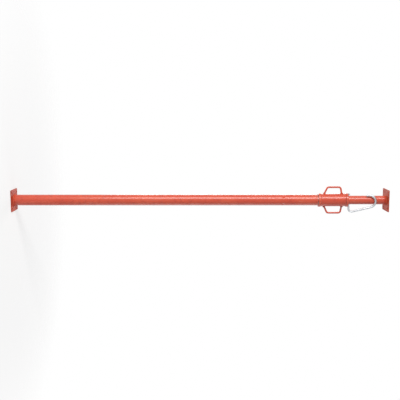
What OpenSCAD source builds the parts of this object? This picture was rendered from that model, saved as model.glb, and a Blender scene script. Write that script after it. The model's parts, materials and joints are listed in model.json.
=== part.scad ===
// Adjustable steel prop with a covered thread, standing upright on its base plate.
// The origin is at the centre of the base plate's underside and +Z runs up the prop.

/* [End plates] */
// Side of the square end plates
plate_w = 120; // [110:1:150]
// Thickness of the end plates
plate_t = 5; // [4:0.5:8]
// Corner radius of the end plates
plate_corner_r = 5; // [2:0.5:12]
// Distance between neighbouring bolt holes
bolt_spacing = 86; // [80:1:90]
// Diameter of the bolt holes
bolt_hole_d = 12; // [8:0.5:14]
// Leg of the fillet welds between plates and tubes
plate_weld_leg = 5; // [3:0.5:7]

/* [Outer tube] */
// Outside diameter of the outer tube
outer_d = 60; // [59:0.5:64]
// Wall of the outer tube
outer_wall = 3; // [2.5:0.25:3.5]
// Length of the outer tube
outer_len = 1838; // [1830:1:2200]
// Depth of the rolled thread below the outer tube's surface
thread_depth = 1.5; // [1:0.25:2]
// Length of run-out below the nut at rest
thread_runout = 3; // [1:0.5:8]

/* [Stop dents] */
// Number of dents round the outer tube
dent_count = 4; // [2:1:6]
// Distance from the outer tube's threaded end down to the dents
dent_below_top = 340; // [320:1:344]
// Radius of the punch that presses the dents
dent_punch_r = 10; // [8:0.5:14]
// Gap left between the dents' inner bumps and the inner tube
dent_gap = 0.6; // [0.4:0.1:0.8]

/* [Inner tube] */
// Outside diameter of the inner tube
inner_d = 48.3; // [46:0.1:49]
// Wall of the inner tube
inner_wall = 3; // [2.5:0.25:4]
// Diameter of the cross holes
hole_d = 13.5; // [13:0.25:16]
// Distance between neighbouring cross holes
hole_pitch = 100; // [90:1:110]
// Distance from the inner tube's head end to its first hole
first_hole = 106; // [90:1:130]
// Hole that the pin sits in at rest, counted from the head
pin_hole_count = 2; // [2:1:3]
// Least space left under the inner tube when it is pushed right in
foot_space = 100; // [60:1:150]
// Spare length between the stop ring and the dents at full height
stop_spare = 5; // [2:1:20]

/* [Stop ring] */
// Height of the stop ring
stop_ring_h = 25; // [15:1:30]
// Height of the weld bead under the stop ring
stop_weld_h = 3; // [2:0.5:4]

/* [Collar] */
// Outside diameter of the collar's cover tube
sleeve_d = 70; // [69:0.5:74]
// Wall of the cover tube
sleeve_wall = 3.5; // [3:0.25:3.75]
// Outside diameter of the collar's two rims
rim_d = 75.5; // [75:0.5:82]
// Height of each rim
rim_h = 13; // [8:0.5:20]
// Length of the nut, rim included
nut_len = 43; // [35:1:50]
// Length by which the collar can be screwed up
fine_travel = 100; // [90:1:105]
// Depth of the thrust ring's spigot in the cover tube
spigot_h = 5; // [3:0.5:8]
// Chamfer on the rims' edges
rim_chamfer = 1.5; // [0.5:0.25:2.5]
// Leg of the bead between the cover tube and the nut's rim
sleeve_weld_leg = 2; // [1:0.25:2.5]

/* [Handles] */
// Diameter of the handles' round bar
handle_bar_d = 10; // [8:0.5:11]
// Distance between the two feet of a handle, centre to centre
handle_foot_span = 98; // [90:1:105]
// How far a handle stands out from the cover tube
handle_reach = 42; // [35:1:50]
// How far the lower leg leans in
handle_lower_lean = 18; // [0:1:22]
// How far the upper leg leans in
handle_upper_lean = 7; // [0:1:12]
// Bend radius on the centre line of the handles' bar
handle_bend_r = 13; // [10:1:16]
// Leg of the welds round the handles' feet
handle_weld_leg = 4; // [2:0.5:5]

/* [Locking pin] */
// Diameter of the pin's round bar
pin_d = 12; // [10:0.5:12.5]
// Distance from the inner tube's axis to the shank's tip
pin_tip_reach = 38; // [34:1:48]
// Distance from the inner tube's axis to the shank's bend
pin_bend_reach = 70; // [64:1:78]
// Bend radius between the shank and the leg
pin_bend_r = 16; // [12:1:20]
// Radius of the hook on its centre line
hook_r = 34; // [28:1:38]
// Distance from the shank to the hook's centre
hook_height = 112; // [100:1:120]
// Sideways offset of the hook's centre
hook_offset = 4; // [-2:1:10]
// Angle through which the hook turns
hook_turn_deg = 178; // [160:1:185]
// Straight end after the hook
hook_tail = 8; // [4:1:14]
// Chamfer on the shank's tip
pin_tip_chamfer = 2; // [1:0.25:3]

/* [Fits] */
// Gap between pieces that slide or turn on each other
running_gap = 0.3; // [0.2:0.05:0.4]
// Gap between pieces that are fixed together
fixed_gap = 0.1; // [0.05:0.05:0.2]
// Space between the outer tube's end and the thrust ring's spigot
mouth_gap = 2; // [1:0.5:5]
// Thread left above the nut when the collar is screwed right up
thread_spare = 2; // [0:0.5:5]

/* [Hidden] */
$fn = 64;

// Fineness of the bent bars: corners round the bar, and degrees of bend from ring to ring
bar_sides = 32;
bend_slice_deg = 9;

outer_r = outer_d / 2;
outer_bore_r = outer_r - outer_wall;
thread_root_r = outer_r - thread_depth;
thread_bore_r = outer_bore_r - thread_depth;
inner_r = inner_d / 2;
sleeve_r = sleeve_d / 2;
sleeve_bore_r = sleeve_r - sleeve_wall;
rim_r = rim_d / 2;
handle_bar_r = handle_bar_d / 2;
pin_r = pin_d / 2;
hole_r = hole_d / 2;

// Heights, from the base plate's underside upwards
tube_foot_z = plate_t;
tube_top_z = tube_foot_z + outer_len;
sleeve_bottom_z = tube_top_z - thread_spare - fine_travel - nut_len;
thread_bottom_z = sleeve_bottom_z - thread_runout;
ring_bottom_z = tube_top_z + mouth_gap + spigot_h;
mouth_z = ring_bottom_z + rim_h;
cover_bottom_z = sleeve_bottom_z + rim_h;
cover_top_z = ring_bottom_z - running_gap;
cover_len = cover_top_z - cover_bottom_z;
pin_z = mouth_z + running_gap + pin_r;
pinned_hole_z = pin_z + pin_r + running_gap - hole_r;
inner_top_z = pinned_hole_z + (pin_hole_count - 1) * hole_pitch + first_hole;
dent_z = tube_top_z - dent_below_top;
wall_gap = outer_bore_r - inner_r;
dent_depth = wall_gap - dent_gap;
dent_mouth_r = sqrt(pow(dent_punch_r + outer_wall, 2) - pow(dent_punch_r + outer_wall - dent_depth, 2));
drawn_ring_top_z = dent_z - dent_mouth_r - stop_spare - fine_travel;
draw_room = drawn_ring_top_z - stop_ring_h - stop_weld_h - tube_foot_z - foot_space;
draw_steps = floor(draw_room / hole_pitch);
ring_top_z = drawn_ring_top_z - draw_steps * hole_pitch;
inner_foot_z = ring_top_z - stop_ring_h - stop_weld_h;
inner_len = inner_top_z - inner_foot_z;
hole_total = pin_hole_count + draw_steps;
handle_mid_z = (cover_bottom_z + cover_top_z) / 2;

// ---- Round bar bent in one plane -------------------------------------------------

// A bar is a bender's list of [feed, turn, bend radius]; a station is [position, heading]
function toward(angle) = [cos(angle), sin(angle)];
function after_feed(here, step) = [here[0] + toward(here[1]) * step[0], here[1]];
function bend_centre(here, step) = here[0] + toward(here[1] + 90) * step[2];
function part_bend(here, step, turned) = [
    bend_centre(here, step) + toward(here[1] + turned - 90) * step[2],
    here[1] + turned
];
function after_step(here, step) = part_bend(after_feed(here, step), step, step[1]);

// Stations along the bar: both ends of each feed, and each bend in equal small turns
function stations(here, steps, i = 0) =
    i == len(steps) ? [] :
    let (step = steps[i], bend_start = after_feed(here, step), slices = ceil(step[1] / bend_slice_deg))
    concat(
        [here, bend_start],
        slices > 1 ? [for (k = [1 : slices - 1]) part_bend(bend_start, step, step[1] * k / slices)] : [],
        stations(after_step(here, step), steps, i + 1)
    );

// Length that a bend takes from each of the straights beside it
function setback(turn, bend_r) = bend_r * tan(turn / 2);

// Ring of corners round the bar at one station
function bar_ring(station, r) = [
    for (k = [0 : bar_sides - 1])
        let (out = r * cos(360 * k / bar_sides), up = r * sin(360 * k / bar_sides))
        [
            station[0][0] + out * toward(station[1] + 90)[0],
            station[0][1] + out * toward(station[1] + 90)[1],
            up
        ]
];

// Skin between neighbouring rings, closed by a flat end at each side
module ringed_bar(rings) {
    n = bar_sides;
    last = len(rings) - 1;
    polyhedron(
        points = [for (ring = rings) each ring],
        faces = concat(
            [[for (k = [0 : n - 1]) k]],
            [for (i = [0 : last - 1], k = [0 : n - 1])
                [i * n + k, (i + 1) * n + k, (i + 1) * n + (k + 1) % n, i * n + (k + 1) % n]],
            [[for (k = [n - 1 : -1 : 0]) last * n + k]]
        )
    );
}

// A whole bent bar in the XZ plane, with its first end chamfered where that is asked for
module bent_bar(start, steps, r, tip_chamfer = 0) {
    along = stations(start, steps);
    whole = [for (i = [1 : len(along) - 1]) bar_ring(along[i], r)];
    tip = tip_chamfer > 0
        ? [bar_ring(start, r - tip_chamfer), bar_ring(after_feed(start, [tip_chamfer]), r)]
        : [bar_ring(start, r)];
    rotate([90, 0, 0]) ringed_bar(concat(tip, whole));
}

// ---- Shared forms ----------------------------------------------------------------

module tube_solid(r_out, r_in, h) {
    difference() {
        cylinder(h = h, r = r_out);
        translate([0, 0, -1]) cylinder(h = h + 2, r = r_in);
    }
}

// Square plate with round corners and a hole near each corner
module end_plate() {
    inset = plate_w / 2 - plate_corner_r;
    difference() {
        linear_extrude(plate_t) {
            square([plate_w, 2 * inset], center = true);
            square([2 * inset, plate_w], center = true);
            for (x = [-inset, inset], y = [-inset, inset])
                translate([x, y]) circle(r = plate_corner_r);
        }
        for (x = [-1, 1], y = [-1, 1])
            translate([x * bolt_spacing / 2, y * bolt_spacing / 2, -1])
                cylinder(h = plate_t + 2, d = bolt_hole_d);
    }
}

// Slightly crowned fillet weld round a tube, standing on z = 0
module fillet_ring(r, leg) {
    crown = leg * 0.62;
    rotate_extrude()
        polygon([[r, 0], [r + leg, 0], [r + crown, crown], [r, leg]]);
}

// ---- Base ------------------------------------------------------------------------

module base_plate() {
    color([0.72, 0.2, 0.15]) end_plate();
}

module base_weld() {
    color([0.6, 0.16, 0.12])
        translate([0, 0, plate_t]) fillet_ring(outer_r, plate_weld_leg);
}

// Bump that a dent raises inside the outer tube, and the dent itself
module dent_at(angle, r) {
    rotate([0, 0, angle])
        translate([outer_r - dent_depth + dent_punch_r, 0, dent_z])
            sphere(r = r);
}

module outer_tube() {
    color([0.74, 0.2, 0.15])
        difference() {
            union() {
                translate([0, 0, tube_foot_z])
                    tube_solid(outer_r, outer_bore_r, thread_bottom_z - tube_foot_z);
                translate([0, 0, thread_bottom_z])
                    tube_solid(thread_root_r, thread_bore_r, tube_top_z - thread_bottom_z);
                intersection() {
                    for (i = [0 : dent_count - 1])
                        dent_at(45 + i * 360 / dent_count, dent_punch_r + outer_wall);
                    translate([0, 0, dent_z - 40]) cylinder(h = 80, r = outer_bore_r + 1);
                }
            }
            for (i = [0 : dent_count - 1])
                dent_at(45 + i * 360 / dent_count, dent_punch_r);
        }
}

// ---- Collar ----------------------------------------------------------------------

// Mouth ring on which the pin bears, with a spigot inside the cover tube
module thrust_ring() {
    bore = inner_r + running_gap;
    spigot_r = sleeve_bore_r - running_gap;
    color([0.74, 0.21, 0.16])
        translate([0, 0, ring_bottom_z])
            rotate_extrude()
                polygon([
                    [bore, -spigot_h], [spigot_r, -spigot_h], [spigot_r, 0], [rim_r - rim_chamfer, 0],
                    [rim_r, rim_chamfer], [rim_r, rim_h - rim_chamfer], [rim_r - rim_chamfer, rim_h],
                    [bore + rim_chamfer, rim_h], [bore, rim_h - rim_chamfer]
                ]);
}

// Nut with a rim that carries the cover tube
module thread_nut() {
    bore = thread_root_r + running_gap;
    body_r = sleeve_bore_r - fixed_gap;
    color([0.72, 0.2, 0.15])
        translate([0, 0, sleeve_bottom_z])
            rotate_extrude()
                polygon([
                    [bore + rim_chamfer, 0], [rim_r - rim_chamfer, 0], [rim_r, rim_chamfer],
                    [rim_r, rim_h - rim_chamfer], [rim_r - rim_chamfer, rim_h], [body_r, rim_h],
                    [body_r, nut_len], [bore, nut_len], [bore, rim_chamfer]
                ]);
}

module sleeve_tube() {
    color([0.76, 0.21, 0.16])
        translate([0, 0, cover_bottom_z])
            tube_solid(sleeve_r, sleeve_bore_r, cover_len);
}

module sleeve_weld() {
    leg = min(sleeve_weld_leg, rim_r - rim_chamfer - sleeve_r);
    color([0.6, 0.16, 0.12])
        translate([0, 0, cover_bottom_z]) fillet_ring(sleeve_r, leg);
}

// Handle on the +X side, bent from its lower foot, which starts inside the cover tube's wall
handle_foot_x = sleeve_r - sleeve_wall / 2;
handle_leg_x = handle_reach + sleeve_wall / 2 - handle_bar_r;
handle_low_z = handle_mid_z - handle_foot_span / 2;
handle_high_z = handle_mid_z + handle_foot_span / 2;
lower_slope = atan2(handle_lower_lean, handle_leg_x);
upper_slope = atan2(handle_upper_lean, handle_leg_x);
lower_setback = setback(90 - lower_slope, handle_bend_r);
upper_setback = setback(90 - upper_slope, handle_bend_r);
handle_start = [[handle_foot_x, handle_low_z], lower_slope];
handle_steps = [
    [norm([handle_leg_x, handle_lower_lean]) - lower_setback, 90 - lower_slope, handle_bend_r],
    [
        handle_foot_span - handle_lower_lean - handle_upper_lean - lower_setback - upper_setback,
        90 - upper_slope, handle_bend_r
    ],
    [norm([handle_leg_x, handle_upper_lean]) - upper_setback, 0, 0]
];

module handle_bar() {
    difference() {
        bent_bar(handle_start, handle_steps, handle_bar_r);
        translate([0, 0, cover_bottom_z]) cylinder(h = cover_len, r = sleeve_r + fixed_gap);
    }
}

module handle_right() {
    color([0.8, 0.24, 0.18]) handle_bar();
}

module handle_left() {
    color([0.8, 0.24, 0.18]) mirror([1, 0, 0]) handle_bar();
}

// Weld collar round one foot of a handle, cut to the cover tube and to the bar
module foot_weld(foot_z, slope) {
    wide_r = handle_bar_r + 2 * handle_weld_leg;
    difference() {
        translate([handle_foot_x, 0, foot_z]) rotate([0, 90 - slope, 0])
            translate([0, 0, sleeve_wall / 2 - handle_weld_leg])
                cylinder(h = 2 * handle_weld_leg, r1 = wide_r, r2 = handle_bar_r);
        translate([handle_foot_x, 0, foot_z]) rotate([0, 90 - slope, 0])
            translate([0, 0, -3 * handle_weld_leg])
                cylinder(h = 6 * handle_weld_leg, r = handle_bar_r + fixed_gap / 2);
        translate([0, 0, cover_bottom_z]) cylinder(h = cover_len, r = sleeve_r + fixed_gap / 2);
    }
}

module handle_welds() {
    color([0.62, 0.17, 0.13])
        for (side = [0, 1])
            mirror([side, 0, 0]) {
                foot_weld(handle_low_z, lower_slope);
                foot_weld(handle_high_z, -upper_slope);
            }
}

// ---- Locking pin -----------------------------------------------------------------

// Angle off the prop's axis at which the hook leans on the inner tube
pin_lean = asin((inner_r + pin_r + running_gap) / (hook_height + hook_r));

bend_point = [pin_bend_reach, 0];
to_hook = [hook_offset, hook_height] - bend_point;
leg_heading = atan2(to_hook[1], to_hook[0]) - asin(hook_r / norm(to_hook));
leg_len = sqrt(pow(norm(to_hook), 2) - pow(hook_r, 2));
pin_setback = setback(leg_heading, pin_bend_r);
pin_start = [[-pin_tip_reach, 0], 0];
pin_steps = [
    [pin_tip_reach + pin_bend_reach - pin_setback, leg_heading, pin_bend_r],
    [leg_len - pin_setback, hook_turn_deg, hook_r],
    [hook_tail, 0, 0]
];

module g_pin() {
    color([0.8, 0.82, 0.83])
        translate([0, 0, pin_z])
            rotate([pin_lean, 0, 0])
                bent_bar(pin_start, pin_steps, pin_r, pin_tip_chamfer);
}

// ---- Inner tube ------------------------------------------------------------------

module inner_tube() {
    color([0.76, 0.22, 0.17])
        difference() {
            translate([0, 0, inner_foot_z]) tube_solid(inner_r, inner_r - inner_wall, inner_len);
            for (i = [0 : hole_total - 1])
                translate([-inner_r - 1, 0, inner_top_z - first_hole - i * hole_pitch])
                    rotate([0, 90, 0]) cylinder(h = inner_d + 2, d = hole_d);
        }
}

module stop_ring() {
    color([0.45, 0.45, 0.47])
        translate([0, 0, inner_foot_z + stop_weld_h])
            tube_solid(outer_bore_r - running_gap, inner_r + fixed_gap, stop_ring_h);
}

module stop_weld() {
    color([0.4, 0.4, 0.42])
        translate([0, 0, inner_foot_z + stop_weld_h]) mirror([0, 0, 1])
            fillet_ring(inner_r, min(stop_weld_h, wall_gap - running_gap));
}

module head_plate() {
    color([0.72, 0.2, 0.15]) translate([0, 0, inner_top_z]) end_plate();
}

module head_weld() {
    color([0.6, 0.16, 0.12])
        translate([0, 0, inner_top_z]) mirror([0, 0, 1]) fillet_ring(inner_r, plate_weld_leg);
}

base_plate();
base_weld();
outer_tube();
thrust_ring();
thread_nut();
sleeve_tube();
sleeve_weld();
handle_left();
handle_right();
handle_welds();
g_pin();
inner_tube();
stop_ring();
stop_weld();
head_weld();
head_plate();
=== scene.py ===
"""An adjustable steel prop with a covered thread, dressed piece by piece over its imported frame."""

import json
import math
import random

import bpy
from mathutils import Matrix, Vector


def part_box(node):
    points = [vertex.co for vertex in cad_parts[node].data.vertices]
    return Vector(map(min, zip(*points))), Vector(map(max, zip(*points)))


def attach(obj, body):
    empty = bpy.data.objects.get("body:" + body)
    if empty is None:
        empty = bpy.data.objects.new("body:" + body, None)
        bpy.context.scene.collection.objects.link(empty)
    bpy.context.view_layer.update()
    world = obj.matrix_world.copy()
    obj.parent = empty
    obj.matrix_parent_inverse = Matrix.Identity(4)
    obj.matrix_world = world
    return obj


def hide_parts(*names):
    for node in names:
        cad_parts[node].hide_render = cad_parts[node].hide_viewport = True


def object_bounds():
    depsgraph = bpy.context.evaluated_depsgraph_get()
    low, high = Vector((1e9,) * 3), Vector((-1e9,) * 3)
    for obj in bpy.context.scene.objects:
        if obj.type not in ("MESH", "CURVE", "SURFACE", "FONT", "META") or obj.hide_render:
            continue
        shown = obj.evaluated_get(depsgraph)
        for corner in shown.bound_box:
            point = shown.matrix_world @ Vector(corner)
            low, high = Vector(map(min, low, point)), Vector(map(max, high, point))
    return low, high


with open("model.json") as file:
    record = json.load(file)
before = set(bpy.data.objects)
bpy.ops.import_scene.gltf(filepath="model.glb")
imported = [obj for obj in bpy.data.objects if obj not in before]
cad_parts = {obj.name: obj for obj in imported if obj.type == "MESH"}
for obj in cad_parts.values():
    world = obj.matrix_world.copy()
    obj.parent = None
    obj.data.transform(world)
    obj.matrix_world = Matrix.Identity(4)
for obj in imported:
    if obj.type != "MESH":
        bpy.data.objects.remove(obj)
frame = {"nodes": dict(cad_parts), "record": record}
cad_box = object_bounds()

# ---- Base plate --------------------------------------------------------------------
# A square of 5 mm steel plate, sheared to size with its corners nipped round and four bolt holes
# punched. It is welded under the outer tube and dipped in red oxide paint with the rest.


class Wire:
    """One socket in a finish's node tree; arithmetic on it adds Math nodes."""

    def __init__(self, finish, socket):
        self.finish, self.socket = finish, socket

    def work(self, operation, first, second=0.0):
        return self.finish.node("ShaderNodeMath", {"operation": operation}, {0: first, 1: second})

    def __add__(self, other):
        return self.work("ADD", self, other)

    def __sub__(self, other):
        return self.work("SUBTRACT", self, other)

    def __rsub__(self, other):
        return self.work("SUBTRACT", other, self)

    def __mul__(self, other):
        return self.work("MULTIPLY", self, other)

    __radd__, __rmul__ = __add__, __mul__

    def size(self):
        return self.work("ABSOLUTE", self)

    def least(self, other):
        return self.work("MINIMUM", self, other)

    def most(self, other):
        return self.work("MAXIMUM", self, other)

    def wrapped(self, length):
        """What is left of a positive value after whole lengths."""
        return self.work("MODULO", self, length)

    def rise(self, low, high):
        """0 below low and 1 above high, eased between them; low above high turns it round."""
        ends = (low, high, 0.0, 1.0) if low < high else (high, low, 1.0, 0.0)
        return self.finish.node(
            "ShaderNodeMapRange", {"interpolation_type": "SMOOTHSTEP"},
            {0: self, 1: ends[0], 2: ends[1], 3: ends[2], 4: ends[3]},
        )


class Finish:
    """A node-based material under one shader, with a method that adds any node."""

    def __init__(self, name):
        self.material = bpy.data.materials.new(name)
        self.material.use_nodes = True
        self.tree = self.material.node_tree
        self.shader = self.tree.nodes["Principled BSDF"]

    def node(self, kind, settings, sockets, output=0):
        made = self.tree.nodes.new(kind)
        for setting, value in settings.items():
            setattr(made, setting, value)
        for key, value in sockets.items():
            if isinstance(value, Wire):
                self.tree.links.new(value.socket, made.inputs[key])
            else:
                made.inputs[key].default_value = value
        return Wire(self, made.outputs[output])

    def place(self, stretch=(1, 1, 1), shift=(0, 0, 0)):
        """Object coordinates, stretched and shifted."""
        where = self.node("ShaderNodeTexCoord", {}, {}, "Object")
        return self.node("ShaderNodeMapping", {}, {"Vector": where, "Scale": stretch, "Location": shift})

    def axes(self):
        """X, Y and Z of the object, in metres."""
        parts = self.node("ShaderNodeSeparateXYZ", {}, {0: self.place()})
        outputs = parts.socket.node.outputs
        return [Wire(self, outputs[axis]) for axis in "XYZ"]

    def noise(self, scale, detail=3.0, roughness=0.5, stretch=(1, 1, 1), shift=(0, 0, 0)):
        return self.node(
            "ShaderNodeTexNoise", {},
            {"Vector": self.place(stretch, shift), "Scale": scale, "Detail": detail, "Roughness": roughness},
        )

    def blend(self, mask, under, over):
        """The colour under, covered by the colour over where the mask is 1."""
        under_input, over_input, colour_output = 6, 7, 2
        sockets = {0: mask}
        for key, value in ((under_input, under), (over_input, over)):
            sockets[key] = (*value, 1.0) if isinstance(value, tuple) else value
        return self.node("ShaderNodeMix", {"data_type": "RGBA"}, sockets, colour_output)

    def bump(self, height, depth):
        return self.node("ShaderNodeBump", {}, {"Height": height, "Strength": 1.0, "Distance": depth})

    def feed(self, **values):
        """Links or sets the shader's own sockets, named in words joined by underscores."""
        for key, value in values.items():
            socket = self.shader.inputs[key.replace("_", " ")]
            if isinstance(value, Wire):
                self.tree.links.new(value.socket, socket)
            else:
                socket.default_value = value


def red_oxide(name, wear, seed, matt_and_shade=0.0, scoring=0.35, seam=0.0):
    """Dipped red oxide paint, glossy unless matt: clouded, with runs, rubbed streaks, dust and worn chips.
    Matt paint is also darkened as painted shade.
    """
    # Painted shade: the more matt the finish, the darker its reds, up to 30 percent, so plates and welds
    # look shaded.
    painted_shade = 1 - 0.30 * matt_and_shade
    red, light_red = (
        tuple(painted_shade * tint for tint in hue) for hue in ((0.57, 0.054, 0.017), (0.63, 0.078, 0.027))
    )
    blotch_red, run_red, seam_red = (0.41, 0.034, 0.013), (0.70, 0.120, 0.060), (0.45, 0.028, 0.020)
    rubbed_red, dust = (0.61, 0.220, 0.155), (0.46, 0.175, 0.115)
    rust, bare_metal = (0.085, 0.030, 0.020), (0.240, 0.205, 0.180)
    seam_half, seam_core, relief = 0.0022, 0.0004, 0.0005 - 0.0002 * matt_and_shade

    paint = Finish(name)
    cloud = paint.noise(5.0, 4.0, 0.6, shift=(seed, seed, seed))
    blotch = paint.noise(38.0, 3.0, 0.55, shift=(seed, 0, 0))
    runs = paint.noise(1.0, 3.0, 0.6, stretch=(95, 95, 5), shift=(seed, 0, seed))
    rub = paint.noise(1.0, 3.0, 0.6, stretch=(230, 230, 11), shift=(0, seed, 0))
    speck = paint.noise(230.0, 4.0, 0.7, shift=(0, 0, seed))
    chips = paint.noise(260.0, 5.0, 0.6, shift=(seed, seed, 0))

    colour = paint.blend(cloud.rise(0.38, 0.66), red, light_red)
    colour = paint.blend(blotch.rise(0.50, 0.72) * 0.55, colour, blotch_red)
    colour = paint.blend(runs.rise(0.52, 0.70) * 0.35, colour, run_red)
    rubbed = rub.rise(0.57, 0.66) * cloud.rise(0.44, 0.58) * scoring
    colour = paint.blend(rubbed, colour, rubbed_red)
    dusty = speck.rise(0.56, 0.74) * (0.30 - 0.15 * matt_and_shade)
    colour = paint.blend(dusty, colour, dust)

    x, y, _ = paint.axes()
    rolled_seam = x.size().rise(seam_half, seam_core) * y.rise(0.0, 0.010) * seam
    colour = paint.blend(rolled_seam * 0.35, colour, seam_red)

    worn = chips + wear(paint) * 0.17
    chipped = worn.rise(0.700, 0.720)
    bared = worn.rise(0.745, 0.765)
    colour = paint.blend(chipped, colour, rust)
    colour = paint.blend(bared, colour, bare_metal)
    roughness = 0.27 + 0.21 * matt_and_shade + blotch * 0.12 + dusty * 0.4 + rubbed * 0.25 + chipped * 0.25
    height = runs * 0.28 + speck * 0.12 + blotch * 0.3 + rolled_seam * 0.9 - chipped * 0.35
    paint.feed(
        Base_Color=colour,
        Roughness=roughness.least(0.9),
        Metallic=bared * 0.85,
        Normal=paint.bump(height, relief),
        Coat_Weight=0.34 * (1 - matt_and_shade),
        Coat_Roughness=0.18,
        Specular_IOR_Level=0.50 - 0.36 * matt_and_shade,
    )
    return paint.material


def begin(adder, **sizes):
    """Adds a primitive with nothing else selected, its place in its mesh, and opens it in edit mode."""
    if bpy.context.mode != "OBJECT":
        bpy.ops.object.mode_set(mode="OBJECT")
    bpy.ops.object.select_all(action="DESELECT")
    adder(**sizes)
    bpy.ops.object.transform_apply(location=True, rotation=True, scale=True)
    bpy.ops.object.mode_set(mode="EDIT")
    return bpy.context.object


def pick(piece, kind, test):
    """Selects just the points that pass a test, or the edges whose two ends pass it."""
    bpy.ops.mesh.select_mode(type=kind)
    bpy.ops.mesh.select_all(action="DESELECT")
    bpy.ops.object.mode_set(mode="OBJECT")
    points = piece.data.vertices
    if kind == "VERT":
        for point in points:
            point.select = test(point.co)
    else:
        for edge in piece.data.edges:
            edge.select = test(*(points[i].co for i in edge.vertices))
    bpy.ops.object.mode_set(mode="EDIT")


def only(piece):
    """Leaves edit mode with just this piece selected and active."""
    if bpy.context.mode != "OBJECT":
        bpy.ops.object.mode_set(mode="OBJECT")
    bpy.ops.object.select_all(action="DESELECT")
    bpy.context.view_layer.objects.active = piece
    piece.select_set(True)


def apply_modifier(piece, kind, **settings):
    """Adds one modifier and applies it."""
    only(piece)
    modifier = piece.modifiers.new(kind.title(), kind)
    for setting, value in settings.items():
        setattr(modifier, setting, value)
    bpy.ops.object.modifier_apply(modifier=modifier.name)


def ease_edges(piece, width):
    """Rounds a piece's sharp edges."""
    apply_modifier(
        piece, "BEVEL", width=width, segments=2, limit_method="ANGLE", angle_limit=math.radians(38)
    )


def drill(piece, cutters):
    """Cuts the cutters out of a piece and removes them."""
    for cutter in cutters:
        apply_modifier(piece, "BOOLEAN", object=cutter, operation="DIFFERENCE", solver="EXACT")
        bpy.data.objects.remove(cutter)


def settle(piece, name, material, body, slot, *nodes):
    """Puts a finished piece's place in its mesh and gives it its name, finish, body and nodes; the slot is
    not used.
    """
    only(piece)
    bpy.ops.object.transform_apply(location=True, rotation=True, scale=True)
    bpy.ops.object.shade_smooth_by_angle(angle=math.radians(40))
    apply_modifier(piece, "WEIGHTED_NORMAL", keep_sharp=True)
    piece.name = piece.data.name = name
    piece.data.materials.clear()
    piece.data.materials.append(material)
    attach(piece, body)
    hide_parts(*nodes)


base_low, base_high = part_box("base_plate")
plate_w, plate_t = base_high.x - base_low.x, base_high.z - base_low.z
plate_corner_r = 0.005
base_bolts = next(mount for mount in frame["record"]["mounts"] if mount["name"] == "base_bolts")
bolt_reach = base_bolts["dims"]["spacing_x_mm"] / 2000
bolt_hole_r = base_bolts["dims"]["hole_r_mm"] / 1000
plate_worn_edge = 0.0045


def end_plate(low_z):
    """A plate with nipped corners, punched holes and eased edges."""
    middle = low_z + plate_t / 2
    plate = begin(
        bpy.ops.mesh.primitive_cube_add, size=1, location=(0, 0, middle), scale=(plate_w, plate_w, plate_t)
    )
    pick(plate, "EDGE", lambda end, other_end: abs(end.z - other_end.z) > plate_t / 2)
    bpy.ops.mesh.bevel(offset=plate_corner_r, segments=8)
    punches = [
        begin(
            bpy.ops.mesh.primitive_cylinder_add, vertices=48, radius=bolt_hole_r, depth=3 * plate_t,
            location=(x * bolt_reach, y * bolt_reach, middle),
        )
        for x in (-1, 1) for y in (-1, 1)
    ]
    drill(plate, punches)
    ease_edges(plate, width=0.0006)
    return plate


def plate_wear(paint):
    """Worn along the plate's four sides and round its corners."""
    x, y, _ = paint.axes()
    return x.size().most(y.size()).rise(plate_w / 2 - plate_worn_edge, plate_w / 2 - 0.0005) * 0.75


# The plate paint is fully matt, which also darkens it as painted shade.
settle(
    end_plate(base_low.z), "foot_plate", red_oxide("foot plate paint", plate_wear, 1.7, matt_and_shade=1.0),
    "base", "red_paint", "base_plate",
)

# ---- Outer tube --------------------------------------------------------------------
# The lower tube, 60 mm across with a 3 mm wall, its top necked for the thread. Four dents pressed in
# below the thread catch the stop ring. It is welded to the base plate all round with one fillet run.

outer_low, outer_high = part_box("outer_tube")
outer_r, outer_wall = outer_high.x, 0.003
nut_low, nut_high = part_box("thread_nut")
thread_depth, thread_runout = 0.0015, 0.003
thread_root_r = outer_r - thread_depth
neck_z = nut_low.z - thread_runout
neck_start_z, neck_end_z = neck_z - 0.002, neck_z + 0.001
dents_below_top, dent_depth, dent_spread = 0.340, 0.00225, 0.0085
dent_z = outer_high.z - dents_below_top
dent_angles = [math.radians(45 + 90 * i) for i in range(4)]
ring_step, rings_beside_dent = 0.0015, 7


def push_rings(rings, start, sides):
    """A circle pushed through rings of (radius, height), from the start ring."""
    radius, height = start
    piece = begin(bpy.ops.mesh.primitive_circle_add, vertices=sides, radius=radius, location=(0, 0, height))
    for next_radius, next_height in rings:
        bpy.ops.mesh.extrude_region_move(TRANSFORM_OT_translate={"value": (0, 0, next_height - height)})
        grow = next_radius / radius
        bpy.ops.transform.resize(value=(grow, grow, 1))
        radius, height = next_radius, next_height
    return piece


def face_outwards():
    """Turns every face of the piece in edit mode outwards, its doubles merged first."""
    bpy.ops.mesh.select_all(action="SELECT")
    bpy.ops.mesh.remove_doubles(threshold=1e-6)
    bpy.ops.mesh.normals_make_consistent(inside=False)


dent_rings = [
    (outer_r, dent_z + ring_step * i) for i in range(-rings_beside_dent, rings_beside_dent + 1)
]
outer_tube = push_rings(
    [*dent_rings, (outer_r, neck_start_z), (thread_root_r, neck_end_z), (thread_root_r, outer_high.z)],
    start=(outer_r, outer_low.z), sides=96,
)
face_outwards()
for angle in dent_angles:
    inwards = Vector((-math.cos(angle), -math.sin(angle), 0))
    punch_point = -inwards * outer_r + Vector((0, 0, dent_z))
    pick(outer_tube, "VERT", lambda point: (point - punch_point).length < ring_step / 3)
    bpy.ops.transform.translate(
        value=inwards * dent_depth, use_proportional_edit=True,
        proportional_edit_falloff="SPHERE", proportional_size=dent_spread,
    )
apply_modifier(outer_tube, "SOLIDIFY", thickness=outer_wall, offset=-1)
ease_edges(outer_tube, width=0.0005)


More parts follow.
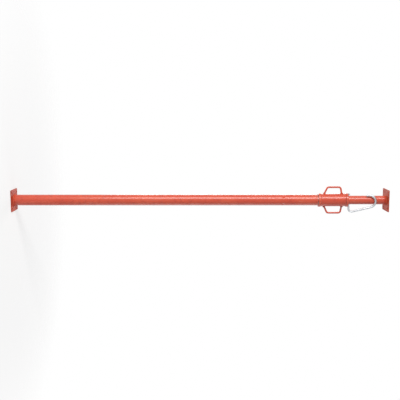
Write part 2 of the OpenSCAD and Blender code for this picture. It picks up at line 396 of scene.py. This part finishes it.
def outer_wear(paint):
    """Chipped just below the neck, where the collar comes down, and a little at the foot."""
    _, _, z = paint.axes()
    below_neck = z.rise(neck_start_z - 0.018, neck_start_z)
    at_foot = z.rise(outer_low.z + 0.030, outer_low.z)
    return below_neck * 0.7 + at_foot * 0.3


settle(
    outer_tube, "lower_tube", red_oxide("lower tube paint", outer_wear, 0.0, seam=1.0),
    "base", "red_paint", "outer_tube",
)

# ---- Rolled thread -----------------------------------------------------------------
# A round-crested thread of 8 mm pitch, rolled into the outer tube's necked top. It is left bare and
# greased, and the collar covers it except where the collar has been screwed up.

thread_pitch, thread_turns, steps_per_turn = 0.008, 18, 48
ridge_sunk, ridge_half = 0.0007, 0.0029
ridge_rise = outer_r - thread_root_r + ridge_sunk
first_crest_z, ridge_end_z = neck_z + 0.0035, outer_high.z - 0.0005
root_low_z, root_high_z = neck_z + 0.0012, outer_high.z - 0.0008
root_out_r, root_in_r = thread_root_r + 0.0001, thread_root_r - 0.0004


def turned(profile, sides=96):
    """A hollow turned piece whose cross-section is the closed loop of (radius, height) points."""
    piece = push_rings(profile[1:], profile[0], sides)
    bpy.ops.mesh.select_all(action="DESELECT")
    bpy.ops.mesh.select_mode(type="EDGE")
    bpy.ops.mesh.select_non_manifold()
    bpy.ops.mesh.bridge_edge_loops()
    face_outwards()
    return piece


def greased_steel(name, seed):
    """Bare steel under a dark film of grease, brighter in streaks where the nut has rubbed it."""
    clean, greasy = (0.36, 0.34, 0.32), (0.13, 0.105, 0.080)
    polished, grime = (0.56, 0.55, 0.53), (0.050, 0.038, 0.028)
    steel = Finish(name)
    film = steel.noise(60.0, 4.0, 0.6, shift=(seed, seed, 0))
    drag = steel.noise(1.0, 3.0, 0.5, stretch=(60, 60, 420), shift=(0, seed, seed))
    grit = steel.noise(420.0, 3.0, 0.6, shift=(seed, 0, 0))
    colour = steel.blend(film.rise(0.40, 0.66), clean, greasy)
    colour = steel.blend(drag.rise(0.54, 0.74) * 0.6, colour, polished)
    colour = steel.blend(grit.rise(0.62, 0.74) * 0.7, colour, grime)
    steel.feed(
        Base_Color=colour,
        Metallic=0.92,
        Roughness=0.30 + film * 0.20 + grit * 0.12,
        Normal=steel.bump(drag * 0.4 + grit * 0.3, 0.0003),
        Coat_Weight=film.rise(0.42, 0.62) * 0.5,
        Coat_Roughness=0.2,
    )
    return steel.material


ridge_start = Vector((thread_root_r - ridge_sunk, 0, first_crest_z))
ridge = begin(
    bpy.ops.mesh.primitive_circle_add, vertices=14, radius=ridge_half, location=ridge_start,
    rotation=(math.pi / 2, 0, 0),
)
bpy.ops.transform.resize(value=(ridge_rise / ridge_half, 1, 1), center_override=ridge_start)
apply_modifier(
    ridge, "SCREW", axis="Z", angle=2 * math.pi, screw_offset=thread_pitch, iterations=thread_turns,
    steps=steps_per_turn, render_steps=steps_per_turn, use_merge_vertices=False,
)
bpy.ops.object.mode_set(mode="EDIT")
bpy.ops.mesh.select_all(action="SELECT")
bpy.ops.mesh.fill_holes(sides=0)
face_outwards()
bpy.ops.mesh.bisect(plane_co=(0, 0, ridge_end_z), plane_no=(0, 0, 1), use_fill=True, clear_outer=True)
thread = turned([
    (root_out_r, root_low_z), (root_out_r, root_high_z), (root_in_r, root_high_z), (root_in_r, root_low_z),
])
only(thread)
ridge.select_set(True)
bpy.ops.object.join()
settle(thread, "rolled_thread", greased_steel("greased thread", 2.3), "base", "bare_steel")

# ---- Foot weld ---------------------------------------------------------------------
# One run of MIG weld round the outer tube's foot, laid by hand in short overlapping ripples and
# painted over.

weld_leg, ripple_pitch, fine_ripple_pitch = 0.005, 0.0026, 0.0022


def weld_run(radius, leg, pitch, seed, spatter=0):
    """A fillet run round the Z axis, its corner at z = 0 on the radius, laid in crescent ripples."""
    root, valley_depth, crest_height, unevenness = 0.0006, 0.11 * leg, 0.04 * leg, 0.05 * leg
    bow_low, bow_high, bow_lag = 0.30 * leg, 0.92 * leg, 0.30 * pitch
    per_ripple, valley, crest = 4, 0, 2
    columns = per_ripple * round(2 * math.pi * radius / pitch)
    run = turned([
        (radius - root, -root), (radius + leg, -root), (radius + leg, 0.10 * leg),
        (radius + 0.88 * leg, 0.36 * leg), (radius + 0.64 * leg, 0.64 * leg),
        (radius + 0.36 * leg, 0.88 * leg), (radius + 0.10 * leg, leg), (radius - root, leg),
    ], columns)

    def column(point):
        """A point's place in its ripple, from the valley over the crest to the next valley."""
        return round(math.atan2(point.y, point.x) * columns / (2 * math.pi)) % per_ripple

    pick(run, "VERT", lambda point: column(point) == valley)
    bpy.ops.transform.shrink_fatten(value=-valley_depth)
    pick(run, "VERT", lambda point: column(point) == crest)
    bpy.ops.transform.shrink_fatten(value=crest_height)
    pick(run, "VERT", lambda point: bow_low < point.z < bow_high)
    bpy.ops.transform.rotate(value=bow_lag / radius, orient_axis="Z", center_override=(0, 0, 0))
    bpy.ops.mesh.select_all(action="SELECT")
    bpy.ops.transform.vertex_random(offset=unevenness, uniform=0.5, seed=seed)
    draws = random.Random(seed)
    drops = []
    for _ in range(spatter):
        angle = draws.uniform(0, 2 * math.pi)
        reach = draws.uniform(1.3, 3.6) * leg
        drop_r = draws.uniform(0.08, 0.20) * leg
        place = Vector((math.cos(angle), math.sin(angle), 0)) * (radius + reach)
        drops.append(
            begin(bpy.ops.mesh.primitive_ico_sphere_add, subdivisions=2, radius=drop_r, location=place)
        )
        bpy.ops.transform.resize(value=(1, 1, 0.7), center_override=place)
    only(run)
    for drop in drops:
        drop.select_set(True)
    if drops:
        bpy.ops.object.join()
    return run


def everywhere(paint):
    """A little wear all over, as on anything that stands proud."""
    return paint.noise(9.0).rise(0.45, 0.75) * 0.55


foot_bead = weld_run(outer_r, weld_leg, ripple_pitch, seed=3, spatter=14)
foot_bead.location.z = base_high.z
# The weld paint is partly matt, which also darkens it a little as painted shade.
settle(
    foot_bead, "foot_weld_run", red_oxide("foot weld paint", everywhere, 4.1, matt_and_shade=0.6),
    "base", "painted_weld", "base_weld",
)

# ---- Collar nut --------------------------------------------------------------------
# A cast nut that runs on the thread under the cover tube. Its wide rim shows below the cover as the
# collar's lower ring, and a small bead joins the two.

rim_h, rim_chamfer = 0.013, 0.0015
sleeve_low, sleeve_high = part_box("sleeve_tube")
sleeve_r, sleeve_wall = sleeve_high.x, 0.0035
sleeve_bore_r = sleeve_r - sleeve_wall
rim_r = nut_high.x
running_gap, fixed_gap = 0.0003, 0.0001
nut_bore_r, nut_spigot_r = thread_root_r + running_gap, sleeve_bore_r - fixed_gap


def rim_wear(low_z, high_z):
    """Wear on both corners of a rim between two heights."""

    def wear(paint):
        x, y, z = paint.axes()
        reach = (x * x + y * y).rise((rim_r - 0.0022) ** 2, (rim_r - 0.0003) ** 2)
        middle, half = (low_z + high_z) / 2, (high_z - low_z) / 2
        return reach * (z - middle).size().rise(half - 0.0030, half - 0.0008)

    return wear


nut = turned([
    (nut_bore_r + rim_chamfer, nut_low.z), (rim_r - rim_chamfer, nut_low.z),
    (rim_r, nut_low.z + rim_chamfer), (rim_r, nut_low.z + rim_h - rim_chamfer),
    (rim_r - rim_chamfer, nut_low.z + rim_h), (nut_spigot_r, nut_low.z + rim_h),
    (nut_spigot_r, nut_high.z), (nut_bore_r, nut_high.z), (nut_bore_r, nut_low.z + rim_chamfer),
])
ease_edges(nut, width=0.0005)
settle(
    nut, "collar_nut", red_oxide("nut paint", rim_wear(nut_low.z, nut_low.z + rim_h), 6.4),
    "collar", "red_paint", "thread_nut",
)

# ---- Cover tube --------------------------------------------------------------------
# A 70 mm tube that hides and protects the thread. It carries both handles, and its lower end is
# welded to the nut's rim with a small bead.

cover = turned([
    (sleeve_r, sleeve_low.z), (sleeve_r, sleeve_high.z),
    (sleeve_bore_r, sleeve_high.z), (sleeve_bore_r, sleeve_low.z),
])
ease_edges(cover, width=0.0006)


def cover_wear(paint):
    """Worn at the cover's upper lip, against the ring."""
    _, _, z = paint.axes()
    return z.rise(sleeve_high.z - 0.006, sleeve_high.z - 0.001) * 0.8


settle(cover, "cover_tube", red_oxide("cover paint", cover_wear, 8.9), "collar", "red_paint", "sleeve_tube")

cover_bead = weld_run(sleeve_r, rim_r - rim_chamfer - sleeve_r, fine_ripple_pitch, seed=5)
cover_bead.location.z = sleeve_low.z
# The weld paint is partly matt, which also darkens it a little as painted shade.
settle(
    cover_bead, "cover_weld_run", red_oxide("cover weld paint", everywhere, 3.3, matt_and_shade=0.6),
    "collar", "painted_weld", "sleeve_weld",
)

# ---- Handles -----------------------------------------------------------------------
# Two handles of 10 mm round bar, each bent twice into a D and welded by both feet to the cover tube.
# The lower leg leans in more than the upper one.

handle_r, handle_bend_r, handle_foot_span = 0.005, 0.013, 0.098
lower_lean, upper_lean, handle_weld_leg = 0.018, 0.007, 0.0040
handle_foot_x = sleeve_r - sleeve_wall / 2
handle_leg_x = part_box("handle_right")[1].x - handle_r - handle_foot_x
handle_low_z = (sleeve_low.z + sleeve_high.z - handle_foot_span) / 2
lower_slope, upper_slope = math.atan2(lower_lean, handle_leg_x), math.atan2(upper_lean, handle_leg_x)


def bent_bar(bar_r, start, moves, sides=32):
    """A round bar bent in the XZ plane from (x, z, heading), by moves of (feed, turn, bend radius)."""
    facet_turn = 0.10
    x, z, heading = start
    bar = begin(
        bpy.ops.mesh.primitive_circle_add, vertices=sides, radius=bar_r, fill_type="NGON",
        location=(x, 0, z), rotation=(0, math.pi / 2 - heading, 0),
    )
    for feed, turn, bend_r in moves:
        ahead = Vector((math.cos(heading), 0, math.sin(heading)))
        left = Vector((-ahead.z, 0, ahead.x))
        bpy.ops.mesh.extrude_region_move(TRANSFORM_OT_translate={"value": ahead * feed})
        here = Vector((x, 0, z)) + ahead * feed
        if turn:
            centre = here + left * bend_r
            bpy.ops.mesh.spin(
                steps=math.ceil(turn / facet_turn), angle=turn, center=centre, axis=(0, 1, 0)
            )
            heading += turn
            here = centre + Vector((math.sin(heading), 0, -math.cos(heading))) * bend_r
        x, z = here.x, here.z
    face_outwards()
    return bar


def bend_setback(turn, bend_r):
    """Length that a bend takes from each straight beside it."""
    return bend_r * math.tan(turn / 2)


def handle_wear(paint):
    """Chipped where hands and hammers turn the collar, along the handle's outer bar."""
    x, _, _ = paint.axes()
    return x.size().rise(sleeve_r + 0.028, sleeve_r + 0.038) * (0.35 + everywhere(paint))


lower_turn, upper_turn = math.pi / 2 - lower_slope, math.pi / 2 - upper_slope
lower_back, upper_back = bend_setback(lower_turn, handle_bend_r), bend_setback(upper_turn, handle_bend_r)
for name, round_z, seed in (("right", 0, 6.0), ("left", math.pi, 4.0)):
    handle = bent_bar(handle_r, (handle_foot_x, handle_low_z, lower_slope), [
        (math.hypot(handle_leg_x, lower_lean) - lower_back, lower_turn, handle_bend_r),
        (handle_foot_span - lower_lean - upper_lean - lower_back - upper_back, upper_turn, handle_bend_r),
        (math.hypot(handle_leg_x, upper_lean) - upper_back, 0, 0),
    ])
    handle.rotation_euler.z = round_z
    settle(
        handle, f"handle_bar_{name}", red_oxide(f"{name} handle paint", handle_wear, seed),
        "collar", "red_paint", f"handle_{name}",
    )

foot_runs = []
for round_z in (0, math.pi):
    for foot_z, slope in ((handle_low_z, lower_slope), (handle_low_z + handle_foot_span, -upper_slope)):
        run = weld_run(handle_r, handle_weld_leg, fine_ripple_pitch, seed=len(foot_runs))
        foot = Matrix.Translation((sleeve_r, 0, foot_z + (sleeve_r - handle_foot_x) * math.tan(slope)))
        tipped = Matrix.Rotation(math.pi / 2 - slope, 4, "Y")
        run.matrix_world = Matrix.Rotation(round_z, 4, "Z") @ foot @ tipped
        foot_runs.append(run)
for run in foot_runs:
    run.select_set(True)
bpy.ops.object.join()
# The weld paint is partly matt, which also darkens it a little as painted shade.
settle(
    foot_runs[-1], "handle_weld_runs", red_oxide("handle weld paint", everywhere, 7.7, matt_and_shade=0.6),
    "collar", "painted_weld", "handle_welds",
)

# ---- Thrust ring -------------------------------------------------------------------
# The loose ring on top of the collar. The locking pin bears on it, and it passes the load to the
# collar and stays still while the collar turns. Its spigot keeps it centred in the cover tube.

thrust_low, thrust_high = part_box("thrust_ring")
ring_z = thrust_high.z - rim_h
inner_low, inner_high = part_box("inner_tube")
inner_r, inner_wall = inner_high.x, 0.003
ring_bore_r, spigot_r = inner_r + running_gap, sleeve_bore_r - running_gap
thrust_ring = turned([
    (ring_bore_r, thrust_low.z), (spigot_r, thrust_low.z), (spigot_r, ring_z),
    (rim_r - rim_chamfer, ring_z), (rim_r, ring_z + rim_chamfer),
    (rim_r, thrust_high.z - rim_chamfer), (rim_r - rim_chamfer, thrust_high.z),
    (ring_bore_r + rim_chamfer, thrust_high.z), (ring_bore_r, thrust_high.z - rim_chamfer),
])
ease_edges(thrust_ring, width=0.0005)
settle(
    thrust_ring, "collar_mouth_ring", red_oxide("mouth ring paint", rim_wear(ring_z, thrust_high.z), 9.6),
    "lift_ring", "red_paint", "thrust_ring",
)

# ---- Locking pin -------------------------------------------------------------------
# A 12 mm round bar with a chamfered tip, bent into a G and zinc plated. It passes through the inner
# tube's hole over the collar, and its hook hangs round the tube so that it can't shake out.

pin_r, pin_bend_r, hook_r = 0.006, 0.016, 0.034
pin_tip, pin_reach, hook_height, hook_offset = 0.038, 0.070, 0.112, 0.004
hook_turn, hook_tail = math.radians(178), 0.008
pin_z = thrust_high.z + running_gap + pin_r
pin_lean = math.asin((inner_r + pin_r + running_gap) / (hook_height + hook_r))
to_hook = Vector((hook_offset - pin_reach, hook_height))
leg_heading = math.atan2(to_hook.y, to_hook.x) - math.asin(hook_r / to_hook.length)
pin_back = bend_setback(leg_heading, pin_bend_r)


def bright_zinc(name):
    """Electroplated zinc: bright and slightly blue, dulled in patches, with fine draw lines and nicks."""
    bright, dull = (0.56, 0.58, 0.60), (0.36, 0.375, 0.39)
    nick, glint = (0.24, 0.24, 0.23), (0.66, 0.66, 0.64)
    zinc = Finish(name)
    cloud = zinc.noise(42.0, 4.0, 0.6)
    lines = zinc.noise(1.0, 3.0, 0.6, stretch=(60, 900, 60))
    spots = zinc.noise(260.0, 4.0, 0.7, shift=(3, 1, 2))
    colour = zinc.blend(cloud.rise(0.38, 0.68), bright, dull)
    colour = zinc.blend(spots.rise(0.62, 0.76) * 0.5, colour, nick)
    colour = zinc.blend(spots.rise(0.36, 0.26) * 0.5, colour, glint)
    zinc.feed(
        Base_Color=colour,
        Metallic=0.95,
        Roughness=0.24 + cloud.rise(0.35, 0.70) * 0.22 + spots * 0.10,
        Normal=zinc.bump(lines * 0.35 + spots * 0.25, 0.0003),
    )
    return zinc.material


pin = bent_bar(pin_r, (-pin_tip, 0, 0), [
    (pin_tip + pin_reach - pin_back, leg_heading, pin_bend_r),
    (math.sqrt(to_hook.length_squared - hook_r ** 2) - pin_back, hook_turn, hook_r),
    (hook_tail, 0, 0),
], sides=40)
ease_edges(pin, width=0.0018)
pin.rotation_euler.x = pin_lean
pin.location.z = pin_z
settle(pin, "locking_g_pin", bright_zinc("bright zinc"), "pin", "zinc_plate", "g_pin")

# ---- Inner tube --------------------------------------------------------------------
# The 48.3 mm upper tube, with a row of 13.5 mm holes drilled straight through it at 100 mm steps. It
# slides in the outer tube, so its paint is scored lengthwise.

hole_r, hole_pitch, first_hole, hole_count = 0.00675, 0.100, 0.106, 14
hole_zs = [inner_high.z - first_hole - i * hole_pitch for i in range(hole_count)]
ring_off_hole, bare_out_r, bare_in_r = 1.4 * hole_r, 0.011, 0.0065
rings_by_holes = [z + side * ring_off_hole for z in reversed(hole_zs) for side in (-1, 1)]
inner_bore_r = inner_r - inner_wall
inner_tube = turned([
    (inner_r, inner_low.z), *[(inner_r, z) for z in rings_by_holes], (inner_r, inner_high.z),
    (inner_bore_r, inner_high.z), *[(inner_bore_r, z) for z in reversed(rings_by_holes)],
    (inner_bore_r, inner_low.z),
])
drill(inner_tube, [
    begin(
        bpy.ops.mesh.primitive_cylinder_add, vertices=48, radius=hole_r, depth=4 * inner_r,
        location=(0, 0, z), rotation=(0, math.pi / 2, 0),
    )
    for z in hole_zs
])
ease_edges(inner_tube, width=0.0004)


def inner_wear(paint):
    """Bare round each drilled hole, and rubbed in lines where the tube slides in the ring."""
    _, y, z = paint.axes()
    along = z + (hole_pitch / 2 - hole_zs[-1])
    off_hole = along.wrapped(hole_pitch) - hole_pitch / 2
    round_hole = (off_hole * off_hole + y * y).rise(bare_out_r ** 2, bare_in_r ** 2)
    lines = paint.noise(1.0, 2.0, 0.5, stretch=(300, 300, 6)).rise(0.58, 0.70)
    return round_hole * 0.85 + lines * 0.35


settle(
    inner_tube, "upper_tube", red_oxide("upper tube paint", inner_wear, 2.2, scoring=0.6, seam=0.7),
    "inner", "red_paint", "inner_tube",
)

# ---- Stop ring ---------------------------------------------------------------------
# A loose-fitting ring pushed over the inner tube's foot and welded under it. It centres the foot and
# stops against the dents at full height. It never sees paint, only grease.

for node, seed in (("stop_ring", 1.1), ("stop_weld", 3.9)):
    hidden_piece = frame["nodes"][node]
    for material_slot in hidden_piece.material_slots:
        material_slot.material = greased_steel(f"greased {node}", seed)

# ---- Head plate --------------------------------------------------------------------
# The same plate as at the foot, welded on the inner tube's head, with its four holes for nailing or
# bolting to the formwork beam.

head_low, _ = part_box("head_plate")
# The plate paint is fully matt, which also darkens it as painted shade.
settle(
    end_plate(head_low.z), "top_plate", red_oxide("head plate paint", plate_wear, 5.3, matt_and_shade=1.0),
    "inner", "red_paint", "head_plate",
)
head_bead = weld_run(inner_r, weld_leg, ripple_pitch, seed=8, spatter=11)
head_bead.rotation_euler.x = math.pi
head_bead.location.z = head_low.z
# The weld paint is partly matt, which also darkens it a little as painted shade.
settle(
    head_bead, "head_weld_run", red_oxide("head weld paint", everywhere, 6.0, matt_and_shade=0.6),
    "inner", "painted_weld", "head_weld",
)

# ---- Floor, light and camera -------------------------------------------------------
# A pale floor under the base plate, a tall soft key light on the left, weaker fills at the right and the
# back, and one lamp over the head plate. The camera is rolled, so that the prop lies across the view.


class Stage(Finish):
    """A world or floor tree, which shows white to the camera and to reflections."""

    def __init__(self, tree):
        self.tree = tree

    def seen(self):
        """1 for camera, glossy and transmission rays, and 0 for the light that falls on the prop."""
        path = self.node("ShaderNodeLightPath", {}, {}).socket.node.outputs
        rays = [Wire(self, path[name]) for name in ("Is Camera Ray", "Is Glossy Ray", "Is Transmission Ray")]
        return rays[0].most(rays[1]).most(rays[2])


sky_light, floor_glow = 0.33, 0.62
world = bpy.data.worlds.new("studio")
bpy.context.scene.world = world
world.use_nodes = True
sky = Stage(world.node_tree)
background = world.node_tree.nodes["Background"]
background.inputs["Color"].default_value = (1, 1, 1, 1)
world.node_tree.links.new((sky_light + sky.seen() * (1 - sky_light)).socket, background.inputs["Strength"])

floor_r, floor_drop = 1.6, 0.0004
fade_start_r, fade_end_r = 0.2 * floor_r, 0.97 * floor_r
floor = begin(
    bpy.ops.mesh.primitive_circle_add, vertices=96, radius=floor_r, fill_type="NGON",
    location=(0, 0, -floor_drop),
)
only(floor)
floor.name = "studio_floor"
paper = bpy.data.materials.new("pale floor")
paper.use_nodes = True
paper.node_tree.nodes.clear()
ground = Stage(paper.node_tree)
pale = ground.node("ShaderNodeBsdfDiffuse", {}, {"Color": (0.92, 0.92, 0.92, 1)})
glow = ground.node("ShaderNodeEmission", {}, {"Color": (1, 1, 1, 1), "Strength": 1.0})
clear = ground.node("ShaderNodeBsdfTransparent", {}, {})
lifted = ground.node("ShaderNodeMixShader", {}, {0: ground.seen() * floor_glow, 1: pale, 2: glow})
floor_x, floor_y, _ = ground.axes()
faded = (floor_x * floor_x + floor_y * floor_y).rise(fade_start_r ** 2, fade_end_r ** 2)
whole = ground.node("ShaderNodeMixShader", {}, {0: faded, 1: lifted, 2: clear})
floor_output = paper.node_tree.nodes.new("ShaderNodeOutputMaterial")
paper.node_tree.links.new(whole.socket, floor_output.inputs["Surface"])
floor.data.materials.append(paper)

middle = Vector((0, 0, (cad_box[0][2] + cad_box[1][2]) / 2))


def lamp(name, at, wide, tall, watts):
    """A soft box that faces the prop's middle."""
    data = bpy.data.lights.new(name, "AREA")
    data.shape, data.size, data.size_y, data.energy = "RECTANGLE", wide, tall, watts
    box = bpy.data.objects.new(name, data)
    bpy.context.scene.collection.objects.link(box)
    box.location = at
    box.rotation_euler = (middle - Vector(at)).to_track_quat("-Z", "Y").to_euler()


lamp("key", at=(-2.6, -2.1, 1.5), wide=1.2, tall=3.2, watts=116)
lamp("side fill", at=(3.0, 0.5, 1.1), wide=1.6, tall=2.4, watts=22)
lamp("back fill", at=(-0.5, 3.2, 1.3), wide=1.6, tall=2.4, watts=50)
lamp("overhead", at=(0.4, -0.3, 5.0), wide=1.6, tall=1.6, watts=34)

camera_data = bpy.data.cameras.new("camera")
camera_data.lens = 60
camera = bpy.data.objects.new("camera", camera_data)
bpy.context.scene.collection.objects.link(camera)
bpy.context.scene.camera = camera
above, distance = math.radians(8), 3.72
back = Vector((-math.sin(above), -math.cos(above), 0))
right = Vector((0, 0, 1))
facing = Matrix((right, back.cross(right), back)).transposed().to_4x4()
camera.matrix_world = Matrix.Translation(middle + back * distance) @ facing
bpy.context.scene.view_settings.view_transform = "Standard"
